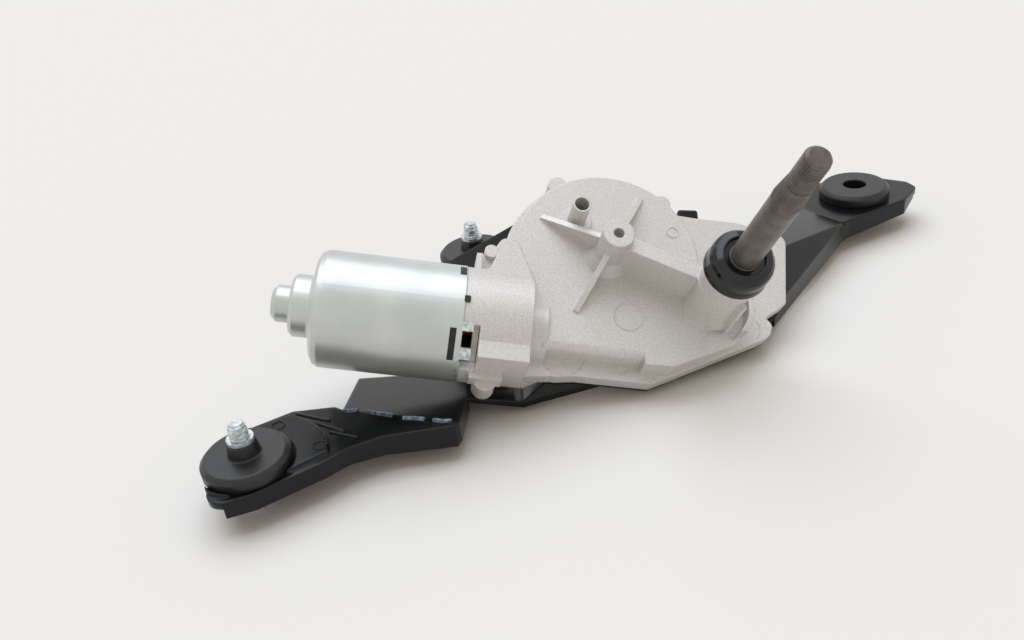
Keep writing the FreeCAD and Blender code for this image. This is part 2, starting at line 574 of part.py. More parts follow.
wheel_module, wheel_teeth = size("wheel_module"), int(size("wheel_teeth"))
wheel_pitch = wheel_module * wheel_teeth / 2
wheel_tip, wheel_root = wheel_pitch + 0.75 * wheel_module, wheel_pitch - 1.15 * wheel_module
tooth_points = []
for tooth in range(wheel_teeth):
    centre = (tooth + 0.5) * 2 * math.pi / wheel_teeth - math.pi / 2
    for radius, half in ((wheel_root, 0.62), (wheel_tip, 0.26)):
        tooth_points.append((radius, centre - half / radius))
    for radius, half in ((wheel_tip, 0.26), (wheel_root, 0.62)):
        tooth_points.append((radius, centre + half / radius))
tooth_points = [V(radius * math.cos(angle), radius * math.sin(angle), 0) for radius, angle in tooth_points]
wheel_low = -size("wheel_top") - size("wheel_face")
wheel_shape = Part.Face(Part.makePolygon(tooth_points + tooth_points[:1])).extrude(V(0, 0,
    size("wheel_face")))
wheel_shape.translate(V(0, 0, wheel_low))
for low, high in ((wheel_low - 1, wheel_low + 2), (-size("wheel_top") - 2, -size("wheel_top") + 1)):
    ring = Part.makeCylinder(20.5, high - low,
        V(0, 0, low)).cut(Part.makeCylinder(14.5, high - low, V(0, 0, low)))
    if low > wheel_low:
        wheel_shape = wheel_shape.cut(ring)
wheel_shape = wheel_shape.cut(Part.makeCylinder(pin_dia / 2 + size("running"), 40, V(0, 0, -30)))
wheel_shape = wheel_shape.cut(Part.makeCylinder(size("clip_room_dia") / 2, size("clip_room") + 5,
    V(0, 0, wheel_low - 5)))
piece("worm_wheel", feature("wheel_gear", wheel_shape))
wheel_pin = rod("wheel_pin_rod", "wheel_pin_dia", "boss_top - 6.5 + wheel_top + wheel_face - 0.3",
                (0, 0, "-wheel_top - wheel_face + 0.3"))
piece("wheel_pin", wheel_pin)
clip = cut("wheel_clip_ring", rod("wheel_clip_outer", "wheel_pin_dia + 4", 0.6),
           rod("wheel_clip_inner", "wheel_pin_dia", 3, (0, 0, -1)))
at(clip, z="-wheel_top - wheel_face + clip_room - 0.8")
piece("wheel_clip", clip)
spacer = cut("wheel_spacer_ring", rod("wheel_spacer_outer", "wheel_pin_dia + 6",
    "wheel_top - top_wall - 0.1"),
             rod("wheel_spacer_inner", "wheel_pin_dia", 6, (0, 0, -1)))
at(spacer, z="-wheel_top + 0.1")
piece("wheel_spacer", spacer)

# Armature with its worm

arm_r = size("arm_shaft_dia") / 2
worm_axis = V(1, 0, 0)
worm_pitch_r = size("worm_pitch_dia") / 2
worm_root, worm_tip = worm_pitch_r - 1.1 * wheel_module, worm_pitch_r + 0.75 * wheel_module
lead = math.pi * wheel_module
worm_len = size("worm_len")
turns = int((worm_len - 2) / lead)
helix = Part.makeLongHelix(lead, turns * lead, worm_root - 0.15)
ridge = [V(worm_root - 0.25, 0, -0.66), V(worm_tip, 0, -0.26), V(worm_tip, 0, 0.26),
    V(worm_root - 0.25, 0, 0.66)]
ridge_wire = Part.makePolygon(ridge + ridge[:1])
thread = Part.Wire(helix).makePipeShell([ridge_wire], True, True)
worm_blank = Part.makeCylinder(worm_root, turns * lead + 3, V(0, 0, -1.5))
worm_shape = worm_blank.fuse(thread)
worm_shape.rotate(V(), V(0, 1, 0), 90)
# The helix starts on the side that faces down, a quarter turn before the wheel's gap at X = 0
worm_shape.translate(V(-(turns // 2 + 0.25) * lead, size("worm_y"), size("worm_z")))
shaft_rod = Part.makeCylinder(arm_r, size("arm_nose") - size("arm_tail"),
                              V(size("arm_tail"), size("worm_y"), size("worm_z")), worm_axis)
piece("armature_shaft", feature("armature_rod", shaft_rod.fuse(worm_shape)))


def ring_x(name, outer, inner, length, x):
    ring = cut(name, rod(name + "_outer", outer, length),
        rod(name + "_inner", inner, "%s + 2" % length, (0, 0, -1)))
    return at(ring, x, "worm_y", "worm_z", along_x)


core_blank = rod("core_blank", "core_dia", "core_len")
core_slots = [block("core_slot_%d" % i, 7, 1.6, "core_len + 2") for i in range(8)]
for i, slot in enumerate(core_slots):
    angle = i * 45
    way = FreeCAD.Rotation(V(0, 0, 1), angle)
    slot.Placement = FreeCAD.Placement(way.multVec(V(size("core_dia") / 2 - 4, -0.8, -1)), way)
core = cut("core_body", core_blank, rod("core_bore", "arm_shaft_dia", "core_len + 2", (0, 0, -1)),
    *core_slots)
at(core, "core_x", "worm_y", "worm_z", along_x)
piece("armature_core", core)
windings = joined("winding_pair",
                  ring_x("winding_rear", "core_dia - 2.4", "arm_shaft_dia", "winding_reach",
                      "core_x - winding_reach"),
                  ring_x("winding_front", "core_dia - 2.4", "arm_shaft_dia", "winding_reach",
                      "core_x + core_len"))
piece("armature_windings", windings)
piece("commutator", ring_x("commutator_ring", "comm_dia", "arm_shaft_dia", "comm_len", "comm_x"))

# Motor can, magnets and bearings

can = turned("motor_can_body", [
    ("can_dia / 2", 0), ("can_dia / 2", "can_len - 3.2"), ("can_dia / 2 - 1", "can_len - 1.2"),
    ("can_dia / 2 - 3.2", "can_len"), ("pocket_dia / 2 + 0.8", "can_len + 0.6"),
    ("pocket_dia / 2", "can_len + 1.6"),
    ("pocket_dia / 2", "can_len + pocket_len - 1.2"), ("pocket_dia / 2 - 1.2", "can_len + pocket_len"),
    ("nose_dia / 2 + 0.6", "can_len + pocket_len"), ("nose_dia / 2", "can_len + pocket_len + 0.6"),
    ("nose_dia / 2", "can_len + pocket_len + nose_len - 1.6"),
    ("nose_dia / 2 - 1.6", "can_len + pocket_len + nose_len"), ("0", "can_len + pocket_len + nose_len"),
    ("0", "can_len + pocket_len + nose_len - can_wall"),
    ("nose_dia / 2 - can_wall", "can_len + pocket_len + nose_len - can_wall"),
    ("nose_dia / 2 - can_wall", "can_len + pocket_len - can_wall"),
    ("pocket_dia / 2 - can_wall", "can_len + pocket_len - can_wall"),
    ("pocket_dia / 2 - can_wall", "can_len - can_wall"), ("can_dia / 2 - 3.2", "can_len - can_wall"),
    ("can_dia / 2 - can_wall", "can_len - 3.2"), ("can_dia / 2 - can_wall", 0)])
at(can, "can_front", "worm_y", "worm_z", FreeCAD.Rotation(V(0, 1, 0), -90))
piece("motor_can", can)
piece("rear_bearing", ring_x("rear_bearing_ring", "pocket_dia - 2 * can_wall",
    "arm_shaft_dia + 2 * running", 5,
                             "can_front - can_len - pocket_len + can_wall + 0.4"))
piece("front_bearing", ring_x("front_bearing_ring", "arm_shaft_dia + 8", "arm_shaft_dia + 2 * running",
                              "neck_len + 2", "neck_x - neck_len - 3.8"))
thrust_seat = rod("thrust_ball_body", "arm_shaft_dia", 1.2, ("arm_nose + 0.1", "worm_y", "worm_z"), along_x)
piece("thrust_pad", thrust_seat)


def magnet(centre):
    """Arc magnet against the can's wall."""
    outer = size("can_dia") / 2 - size("can_wall") - 0.02
    inner = size("magnet_inner") / 2 + 1.2
    half = math.radians(62)
    points = []
    for radius, sign in ((outer, 1), (inner, -1)):
        for step in (-1, 0, 1):
            angle = centre + sign * step * half
            points.append(V(0, radius * math.cos(angle), radius * math.sin(angle)))
    wire = Part.Wire([Part.Arc(*points[:3]).toShape(), Part.LineSegment(points[2], points[3]).toShape(),
                      Part.Arc(*points[3:]).toShape(), Part.LineSegment(points[5], points[0]).toShape()])
    shape = Part.Face(wire).extrude(V(size("magnet_len"), 0, 0))
    shape.translate(V(size("magnet_x"), size("worm_y"), size("worm_z")))
    return shape


piece("magnet_upper", feature("magnet_top", magnet(math.pi / 2)))
piece("magnet_lower", feature("magnet_bottom", magnet(-math.pi / 2)))

# Brush gear

plate_r = "brush_house_dia - 2 * brush_house_wall - 0.04"
brush_plate = cut("brush_plate_body", rod("brush_plate_disc", plate_r, 2),
                  rod("brush_plate_hole", "comm_dia + 3", 4, (0, 0, -1)))
at(brush_plate, "comm_x + 5.6", "worm_y", "worm_z", along_x)
piece("brush_plate", brush_plate)
for node, sign in (("brush_rear", 1), ("brush_front", -1)):
    low = "comm_dia / 2 + 0.1" if sign > 0 else "-comm_dia / 2 - 0.1 - 6"
    brush = block(node + "_block", 4, 6, 4.6, ("comm_x + 1.6", "worm_y + %s" % low, "worm_z - 2.3"))
    piece(node, brush)

# Bottom cover and bracket

floor = size("pan_floor")
cover_low = -depth - size("cover_wall")
pan_outer = prism(link_room, -floor - size("pan_wall"), -depth, size("pan_wall"))
cup = Part.makeCylinder(9.5, 3, V(shaft_x, shaft_y, -floor - size("pan_wall") - 2))
cover_shape = base_plate(cover_low, -depth).cut(motor_gap(cover_low - 1, 0))
cover_shape = cover_shape.fuse([pan_outer, cup])
cover_shape = cover_shape.cut(prism(link_room, -floor, -depth + 1))
cover_shape = cover_shape.cut(Part.makeCylinder(6.2, 2.2, V(shaft_x, shaft_y, -floor - 1.8)))
piece("bottom_cover", feature("cover_pan", cover_shape.removeSplitter()))

sheet_wall = size("sheet_wall")
plate_low = cover_low - sheet_wall
plate_outline = [(-18, -43.5, 3), (-8, -42, 6), (19, -42, 3), (25, -39, 4), (56, -22, 4), (66, -12, 5),
                 (71, -4, 4), (71, 22.5, 4), (52, 25.5, 4), (39.5, 26.5, 1), (38.8, 35.2, 1), (31, 34.3, 1),
                 (30.2, 26, 3), (24, 16, 3), (0, 10, 3), (-31, 16, 4),
                 (-31, -4, 4), (-20, -5, 3), (-18, -15, 3)]


def plate_solid(low, high):
    rim = Part.makeCylinder(size("rim_dia") / 2 - 1.5, high - low, V(0, 0, low))
    shape = prism(plate_outline, low, high).fuse(rim).cut(motor_gap(low, high))
    shape.Placement = FreeCAD.Placement(V(), tilt)
    return shape


hole = prism(link_room, plate_low - 1, cover_low + 1, size("pan_wall") + 0.3)
hole.Placement = FreeCAD.Placement(V(), tilt)
plate_shape = plate_solid(plate_low, cover_low).cut(hole)
footprint = plate_solid(plate_low - 30, cover_low)
housing_side = base_plate(cover_low, 0, 0.2).fuse(prism(ear_outline, cover_low, 0, 0.2))
housing_side.Placement = FreeCAD.Placement(V(), tilt)

pad_top = size("grommet_top") - size("grommet_lip")


def sheet_part(corners, triangles):
    """Bent sheet: top corners joined by triangles, the underside one wall below."""
    drop = V(0, 0, -sheet_wall)
    faces, edge_use = [], {}
    for triangle in triangles:
        top = [corners[i] for i in triangle]
        faces.append(Part.Face(Part.makePolygon(top + top[:1])))
        faces.append(Part.Face(Part.makePolygon([p + drop for p in top + top[:1]])))
        for i in range(3):
            pair = tuple(sorted((triangle[i], triangle[(i + 1) % 3])))
            edge_use[pair] = edge_use.get(pair, 0) + 1
    for (first, last), uses in edge_use.items():
        if uses == 1:
            a, b = corners[first], corners[last]
            faces.append(Part.Face(Part.makePolygon([a, b, b + drop, a + drop, a])))
    return Part.makeSolid(Part.makeShell(faces))


def pad_plate(points):
    shape = rounded_face(points).extrude(V(0, 0, sheet_wall))
    shape.translate(V(0, 0, pad_top - sheet_wall))
    return shape


def lip(points, heights):
    """Turned-down edge of the sheet along a line of top corners, mitred at each corner."""
    inner = []
    for i, corner in enumerate(points):
        ways = [V(b.y - a.y, a.x - b.x, 0).normalize() for a, b in zip(points, points[1:])]
        before, after = ways[max(i - 1, 0)], ways[min(i, len(ways) - 1)]
        inner.append(corner + (before + after) * (sheet_wall / (1 + before.dot(after))))
    solids = []
    for i in range(len(points) - 1):
        ring = [points[i], points[i + 1], inner[i + 1], inner[i]]
        upper = [p + V(0, 0, -sheet_wall / 2) for p in ring]
        drops = [heights[i], heights[i + 1], heights[i + 1], heights[i]]
        lower = [p + V(0, 0, -drop) for p, drop in zip(ring, drops)]
        faces = []
        for j in range(4):
            k = (j + 1) % 4
            for corners in ((upper[j], upper[k], lower[k]), (upper[j], lower[k], lower[j])):
                faces.append(Part.Face(Part.makePolygon(list(corners) + [corners[0]])))
        for level in (upper, lower):
            for corners in ((level[0], level[1], level[2]), (level[0], level[2], level[3])):
                faces.append(Part.Face(Part.makePolygon(list(corners) + [corners[0]])))
        solids.append(Part.makeSolid(Part.makeShell(faces)))
    return solids


def leg(node, centre, parts):
    """Welds a leg's pieces, ends it at the plate's edge and opens it for its grommet."""
    shape = parts[0].fuse(parts[1:]).removeSplitter()
    shape = shape.cut([footprint, housing_side])
    shape = shape.cut(Part.makeCylinder(size("grommet_neck_dia") / 2 + 0.02, 20,
        V(centre.x, centre.y, pad_top - 10)))
    solids = sorted(shape.Solids, key=lambda solid: -solid.Volume)
    piece(node, feature(node + "_sheet", solids[0]), mount_frame)


def by(centre, offsets):
    """Corners given from a grommet's centre, with their rounding."""
    return [(centre.x + x, centre.y + y, r) for x, y, r in offsets]


left, rear, right = (V(size(n + "_x"), size(n + "_y"), pad_top) for n in ("left", "rear", "right"))
piece("mounting_bracket", feature("bracket_plate", plate_shape.removeSplitter()), mount_frame)

left_edge = [(68.0, 9.0), (43.7, 7.1), (32.5, 2.6), (26.0, -3.1), (14.1, -10.2), (4.6, -16.0), (-4.5, -18.7)]
left_pad = pad_plate(by(left, [(-14.5, 9, 8), (-10, -17.5, 6)] + [(x, y, 0) for x, y in left_edge[::-1]]
                        + [(69.5, 11.1, 0), (28.2, 25.3, 0), (25, 27.7, 2), (10, 27.6, 4), (-6, 19, 8)]))
bead_ring = Part.makeCylinder(26.5, sheet_wall / 2 + 0.9, left - V(0, 0, sheet_wall / 2)).cut(
    Part.makeCylinder(size("grommet_dia") / 2 + 0.6, 9, left - V(0, 0, 3)))
ring_room = rounded_face(by(left, [(-16, 9, 8), (-11, -14, 6), (-4, -16, 3), (12, -8, 3), (30, 4, 3),
    (28, 20, 3),
                                   (10, 25, 4), (-7, 17, 8)])).extrude(V(0, 0, 9))
ring_room.translate(V(0, 0, pad_top - 3))
left_ring = bead_ring.common(ring_room)
corners = [V(left.x + 28.2, left.y + 25.3, pad_top), V(left.x + 69.5, left.y + 11.1, pad_top),
    V(-55, -30, -33.2),
           V(-97, -8, -34.7), from_gear(-15, -41, cover_low - 0.2), from_gear(2, -41, cover_low - 0.2),
           V(-36, -29, -38.5), V(-36, -19, -39.5), V(-58, -6, -37.8), V(-42, -12, -39)]
left_web = sheet_part(corners, [(0, 1, 2), (0, 2, 8), (0, 8, 3), (2, 6, 7), (2, 7, 9), (2, 9, 8),
    (6, 5, 4), (6, 4, 7)])
left_lip = lip([corners[2], corners[1]] + [V(left.x + x, left.y + y, pad_top) for x, y in left_edge],
               [5.5, 8, 8.7, 7.6, 6.6, 6.3, 6.3, 6.3, 6.3])
leg("leg_left", left, [left_pad, left_web, left_ring] + left_lip)

rear_pad = pad_plate(by(rear, [(-14.5, -8, 6), (-13, -17, 3), (7, -22, 4), (20, -10, 4), (17, 14, 8),
    (-3, 20, 9),
                               (-14.5, 13, 8)]))
rim_r = size("rim_dia") / 2
rear_a, rear_b = [
    from_gear((rim_r - inset) * math.cos(math.radians(angle)), (rim_r - inset) * math.sin(math.radians(angle)),
              cover_low - 0.2) for angle, inset in ((154.2, 4.8), (110, 1.9))]
rear_web = sheet_part([V(rear.x - 9, rear.y - 17.5, pad_top), V(rear.x + 17, rear.y - 12, pad_top),
    rear_b, rear_a],
                      [(0, 1, 2), (0, 2, 3)])
rear_way = V(rear_a.x - rear.x + 12, rear_a.y - rear.y + 16.5, 0)
rear_side = V(rear_way.y, -rear_way.x, 0).normalize() * -sheet_wall
rear_rise = [V(rear.x - 12, rear.y - 16.5, pad_top - sheet_wall), V(rear.x - 9.5, rear.y - 18.5, pad_top + 9),
             V(rear_a.x, rear_a.y, rear_a.z + 7), V(rear_a.x, rear_a.y, rear_a.z - sheet_wall)]
flat = [rear_rise[0] + V(rear_way.x, rear_way.y,
    0) * ((p - rear_rise[0]).dot(rear_way) / rear_way.dot(rear_way))
        + V(0, 0, p.z - rear_rise[0].z) for p in rear_rise]
rear_flange = Part.Face(Part.makePolygon(flat + flat[:1])).extrude(rear_side)
leg("leg_rear", rear, [rear_pad, rear_web, rear_flange])

right_pad = pad_plate(by(right, [(-31, -1, 5), (-13, -27, 2), (-10, -25, 2), (19, -11, 5), (28, 0, 4),
    (26, 7, 4),
                                 (11, 18, 10), (-15, 16, 8)]))
right_a, right_b = from_gear(68.8, 21, cover_low - 0.2), from_gear(68.8, -4, cover_low - 0.2)
right_front = V(right.x - 13, right.y - 27, pad_top)
right_web = sheet_part([right_a, right_b, right_front, V(right.x - 30, right.y - 2, pad_top)],
    [(0, 1, 2), (0, 2, 3)])
right_lip = lip([V(right.x + 26, right.y - 2, pad_top), V(right.x + 19, right.y - 11, pad_top),
                 V(right.x - 10, right.y - 25, pad_top), right_front, right_b], [4, 7, 8.5, 9, 8])
leg("leg_right", right, [right_pad, right_web] + right_lip)

# Grommets and studs

for node in ("left", "rear", "right"):
    bore = "bush_dia / 2" if node != "right" else "grommet_bore / 2"
    profile = [
        (bore, "-grommet_height"), ("grommet_low_dia / 2 - 2", "-grommet_height"),
        ("grommet_low_dia / 2", "-grommet_height + 2"),
        ("grommet_low_dia / 2", "-grommet_lip - sheet_wall - 0.01"),
        ("grommet_neck_dia / 2", "-grommet_lip - sheet_wall - 0.01"),
        ("grommet_neck_dia / 2", "-grommet_lip + 0.01"),
        ("grommet_dia / 2", "-grommet_lip + 0.01"), ("grommet_dia / 2", "-1.6"), ("grommet_dia / 2 - 1.6", 0)]
    if node != "right":
        profile += [("collar_dia / 2", 0), ("collar_dia / 2 - 0.8", "collar_height"),
                    ("stud_dia / 2 + 0.2", "collar_height"), ("stud_dia / 2 + 0.2", 0)]
    grommet = turned("grommet_%s_body" % node, profile + [(bore, 0)])
    at(grommet, node + "_x", node + "_y", "grommet_top")
    piece("grommet_" + node, grommet, mount_frame)
for node in ("left", "rear"):
    stud = turned("stud_%s_body" % node, [
        ("0", "-grommet_height - stud_head"), ("stud_head_dia / 2", "-grommet_height - stud_head"),
        ("stud_head_dia / 2", "-grommet_height"), ("bush_dia / 2", "-grommet_height"), ("bush_dia / 2", 0),
        ("stud_dia / 2 + 0.2", 0), ("stud_dia / 2 + 0.2", "collar_height"),
        ("stud_flange_dia / 2", "collar_height"),
        ("stud_flange_dia / 2", "collar_height + 1.2"), ("stud_dia / 2", "collar_height + 1.2"),
        ("stud_dia / 2", "stud_reach - stud_tip"), ("stud_dia / 2 - 0.9", "stud_reach"), ("0", "stud_reach")])
    at(stud, node + "_x", node + "_y", "grommet_top")
    piece("mount_stud_" + node, stud, mount_frame)

# Connector socket under the cover's pan, open to the back

socket_solid = block("socket_outer", "socket_width", "socket_len", "socket_height")
socket_room = block("socket_inner", "socket_width - 2 * socket_wall", "socket_len",
    "socket_height - 2 * socket_wall",
                    ("socket_wall", "socket_wall", "socket_wall"))
socket = cut("socket_body", socket_solid, socket_room)
at(socket, "socket_x", "socket_y", "-pan_floor - pan_wall - socket_height")
piece("connector_socket", socket)
pins = []
for column in range(4):
    pins.append(block("pin_%d" % column, 0.8, "pin_reach", 0.8,
                      ("socket_x + socket_wall + 2 + %s * 3" % column, "socket_y + socket_wall",
                       "-pan_floor - pan_wall - socket_height / 2 - 0.4")))
piece("connector_pins", joined("pin_row", *pins))

doc.recompute()
for obj in doc.Objects:
    if "Invalid" in obj.State or "Error" in obj.State:
        raise RuntimeError("failed: %s %s" % (obj.Name, obj.State))
os.makedirs("parts", exist_ok=True)
for node, obj in pieces.items():
    shape = obj.Shape
    if shape.isNull() or not shape.isValid() or not shape.Solids:
        raise RuntimeError("bad shape: " + node)
for node, obj in pieces.items():
    obj.Shape.exportStep("parts/%s.step" % node)
    print("%-22s solids %d volume %8.1f" % (node, len(obj.Shape.Solids), obj.Shape.Volume))
print("rocker %.4f link %.4f shaft %.4f deg" % tuple(math.degrees(a) for a in (rocker_move, link_move,
    shaft_move)))
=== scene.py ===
import json
import math
import bpy
from mathutils import Matrix, Vector


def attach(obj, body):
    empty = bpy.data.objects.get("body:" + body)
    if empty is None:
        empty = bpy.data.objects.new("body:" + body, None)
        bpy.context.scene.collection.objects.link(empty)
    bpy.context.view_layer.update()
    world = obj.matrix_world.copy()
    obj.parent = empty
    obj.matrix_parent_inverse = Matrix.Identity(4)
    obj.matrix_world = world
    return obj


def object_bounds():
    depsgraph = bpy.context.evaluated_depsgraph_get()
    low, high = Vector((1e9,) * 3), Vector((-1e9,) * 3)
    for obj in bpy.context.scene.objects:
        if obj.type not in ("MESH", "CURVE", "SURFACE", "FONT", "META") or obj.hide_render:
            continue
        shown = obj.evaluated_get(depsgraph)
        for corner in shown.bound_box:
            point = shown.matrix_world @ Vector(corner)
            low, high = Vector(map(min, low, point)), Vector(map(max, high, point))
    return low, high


# Rear wiper motor on a pale table. The frame gives every part its shape and place. This script
# gives them their finish and adds threads, a knurl, casting marks and flash, screws, the slots and
# tabs at the can's rim, and the dashes, ribs and round marks of the left leg.

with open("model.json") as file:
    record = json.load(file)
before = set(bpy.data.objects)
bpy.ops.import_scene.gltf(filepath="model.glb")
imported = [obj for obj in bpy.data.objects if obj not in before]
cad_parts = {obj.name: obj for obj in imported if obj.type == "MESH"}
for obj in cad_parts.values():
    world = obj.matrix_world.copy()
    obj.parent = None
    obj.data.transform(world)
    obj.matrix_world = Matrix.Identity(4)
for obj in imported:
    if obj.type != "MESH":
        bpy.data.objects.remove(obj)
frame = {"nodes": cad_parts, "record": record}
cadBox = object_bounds()
nodes = frame["nodes"]
scene = bpy.context.scene
print("stage: frame loaded,", len(nodes), "parts")

mm = 0.001

# The gearbox leans in the part's frame: its Z runs up the output shaft, its X along the motor.
# The mount frame has the same origin and stands level, as the three grommets do.
lean = {"side": 15.0, "back": 35.4, "shaftX": 38.0, "shaftY": -13.3, "sealTop": 37.1}
tilt = (Matrix.Rotation(math.radians(lean["side"]), 4, "Y")
        @ Matrix.Rotation(math.radians(lean["back"]), 4, "X"))
partOrigin = tilt @ Vector((lean["shaftX"], lean["shaftY"], lean["sealTop"]))
gearFrame = Matrix.Scale(mm, 4) @ Matrix.Translation(-partOrigin) @ tilt
mountFrame = Matrix.Scale(mm, 4) @ Matrix.Translation(-partOrigin)
shaftFrame = gearFrame @ Matrix.Translation((lean["shaftX"], lean["shaftY"], 0))


def linear(hexText):
    # an sRGB hex colour as the linear values that Blender works with
    values = [int(hexText[i:i + 2], 16) / 255 for i in (1, 3, 5)]
    return tuple(v / 12.92 if v <= 0.04045 else ((v + 0.055) / 1.055) ** 2.4 for v in values) + (1,)


def addNode(tree, kind, sockets=None, links=None, **settings):
    node = tree.nodes.new(kind)
    for name, value in settings.items():
        setattr(node, name, value)
    for name, value in (sockets or {}).items():
        node.inputs[name].default_value = value
    for name, source in (links or {}).items():
        tree.links.new(source, node.inputs[name])
    return node


def perMetre(sizeInMm):
    return 1 / (sizeInMm * mm)


def startMaterial(name, sockets):
    material = bpy.data.materials.new(name)
    material.use_nodes = True
    tree = material.node_tree
    shader = tree.nodes["Principled BSDF"]
    for socket, value in sockets.items():
        shader.inputs[socket].default_value = value
    place = addNode(tree, "ShaderNodeTexCoord").outputs["Object"]
    return material, tree, shader, place


def patches(tree, place, sizeInMm, colours, detail, low, high):
    # colour that drifts between two tones over patches of a real size
    noise = addNode(tree, "ShaderNodeTexNoise", {"Scale": perMetre(sizeInMm), "Detail": detail},
                    {"Vector": place})
    ramp = addNode(tree, "ShaderNodeValToRGB", None, {"Fac": noise.outputs["Fac"]})
    for stop, position, colour in zip(ramp.color_ramp.elements, (low, high), colours):
        stop.position = position
        stop.color = linear(colour)
    return noise.outputs["Fac"], ramp.outputs["Color"]


def roughen(tree, shader, height, strength, depthInMm, edgeInMm=0):
    # fine relief over edges that are rounded by edgeInMm
    bump = addNode(tree, "ShaderNodeBump", {"Strength": strength, "Distance": depthInMm * mm},
                   {"Height": height})
    if edgeInMm:
        edge = addNode(tree, "ShaderNodeBevel", {"Radius": edgeInMm * mm}, samples=6)
        tree.links.new(edge.outputs["Normal"], bump.inputs["Normal"])
    tree.links.new(bump.outputs["Normal"], shader.inputs["Normal"])


def castAluminium():
    # Die-cast aluminium, shot-blasted: pale, satin, a fine grain, edges softened by the blasting.
    finish = {"pale": "#dedbd8", "dark": "#c9c5c1", "grainMm": 0.5, "edgeMm": 0.6}
    material, tree, shader, place = startMaterial(
        "shotBlastedCastAluminium", {"Metallic": 0.35, "Roughness": 0.48})
    grain, colour = patches(tree, place, finish["grainMm"], (finish["dark"], finish["pale"]),
                            detail=2, low=0.35, high=0.65)
    tree.links.new(colour, shader.inputs["Base Color"])
    roughen(tree, shader, grain, strength=0.22, depthInMm=0.08, edgeInMm=finish["edgeMm"])
    return material


def zincPlate():
    # Drawn steel, zinc-plated and clear-passivated: cool grey-green, soft clouds, satin gloss.
    finish = {"pale": "#d2d5d2", "dark": "#c6cac7", "cloudMm": 16, "grainMm": 0.4, "edgeMm": 0.5}
    material, tree, shader, place = startMaterial(
        "zincPlatedSteel", {"Metallic": 0.6, "Roughness": 0.36})
    colour = patches(tree, place, finish["cloudMm"], (finish["dark"], finish["pale"]),
                     detail=4, low=0.35, high=0.65)[1]
    tree.links.new(colour, shader.inputs["Base Color"])
    grain = addNode(tree, "ShaderNodeTexNoise", {"Scale": perMetre(finish["grainMm"]), "Detail": 2},
                    {"Vector": place})
    roughen(tree, shader, grain.outputs["Fac"], strength=0.15, depthInMm=0.05,
            edgeInMm=finish["edgeMm"])
    return material


def brightZinc():
    # Rolled and cut zinc-plated threads and tabs: bright, cool, with dull spots.
    finish = {"pale": "#dfe6e6", "dark": "#a9b3b4", "spotMm": 1.4}
    material, tree, shader, place = startMaterial(
        "brightZincSteel", {"Metallic": 0.7, "Roughness": 0.3})
    spot, colour = patches(tree, place, finish["spotMm"], (finish["dark"], finish["pale"]),
                           detail=3, low=0.35, high=0.6)
    tree.links.new(colour, shader.inputs["Base Color"])
    roughen(tree, shader, spot, strength=0.1, depthInMm=0.05)
    return material


def blackCoat():
    # Stamped steel, dipped in a black coat: glossy and a little wavy, with rounded bends and dust.
    finish = {"coat": "#060709", "dust": "#101217", "waveMm": 9, "dustMm": 1.1, "edgeMm": 1.4}
    material, tree, shader, place = startMaterial(
        "blackDippedSteel", {"Roughness": 0.2, "Specular IOR Level": 0.3})
    colour = patches(tree, place, finish["dustMm"], (finish["coat"], finish["dust"]),
                     detail=4, low=0.5, high=0.8)[1]
    tree.links.new(colour, shader.inputs["Base Color"])
    wave = addNode(tree, "ShaderNodeTexNoise", {"Scale": perMetre(finish["waveMm"]), "Detail": 2},
                   {"Vector": place})
    roughen(tree, shader, wave.outputs["Fac"], strength=0.2, depthInMm=0.35,
            edgeInMm=finish["edgeMm"])
    return material


def paintedSheenCoat():
    # The same black coat on raised beads, coloured with a painted bluish highlight that the flat
    # sheet lacks.
    # both tones are painted highlight, a bluish sheen laid over the black coat
    finish = {"coat": "#2c3546", "wearAndSheen": "#7d8ba6", "spotMm": 1.6}
    material, tree, shader, place = startMaterial("blackCoatPaintedHighlight", {"Roughness": 0.3})
    spot, colour = patches(tree, place, finish["spotMm"], (finish["coat"], finish["wearAndSheen"]),
                           detail=3, low=0.4, high=0.65)
    tree.links.new(colour, shader.inputs["Base Color"])
    roughen(tree, shader, spot, strength=0.1, depthInMm=0.1)
    return material


def mouldedRubber():
    # EPDM rubber, moulded: near black, satin, with a soft grain.
    finish = {"black": "#161413", "wearAndSheen": "#2a2624", "grainMm": 0.8, "edgeMm": 1.2}
    material, tree, shader, place = startMaterial("mouldedRubber", {"Roughness": 0.38})
    grain, colour = patches(tree, place, finish["grainMm"], (finish["black"], finish["wearAndSheen"]),
                            detail=4, low=0.45, high=0.8)
    tree.links.new(colour, shader.inputs["Base Color"])
    roughen(tree, shader, grain, strength=0.25, depthInMm=0.1, edgeInMm=finish["edgeMm"])
    return material


def sealNylon():
    # Glass-filled nylon seal, moulded and greased: deep black with a clear gloss.
    finish = {"black": "#040405", "hazed": "#0b0c0d", "waveMm": 3, "edgeMm": 0.4}
    material, tree, shader, place = startMaterial("glossNylon", {"Roughness": 0.1})
    wave, colour = patches(tree, place, finish["waveMm"], (finish["black"], finish["hazed"]),
                           detail=2, low=0.4, high=0.7)
    tree.links.new(colour, shader.inputs["Base Color"])
    roughen(tree, shader, wave, strength=0.08, depthInMm=0.2, edgeInMm=finish["edgeMm"])
    return material


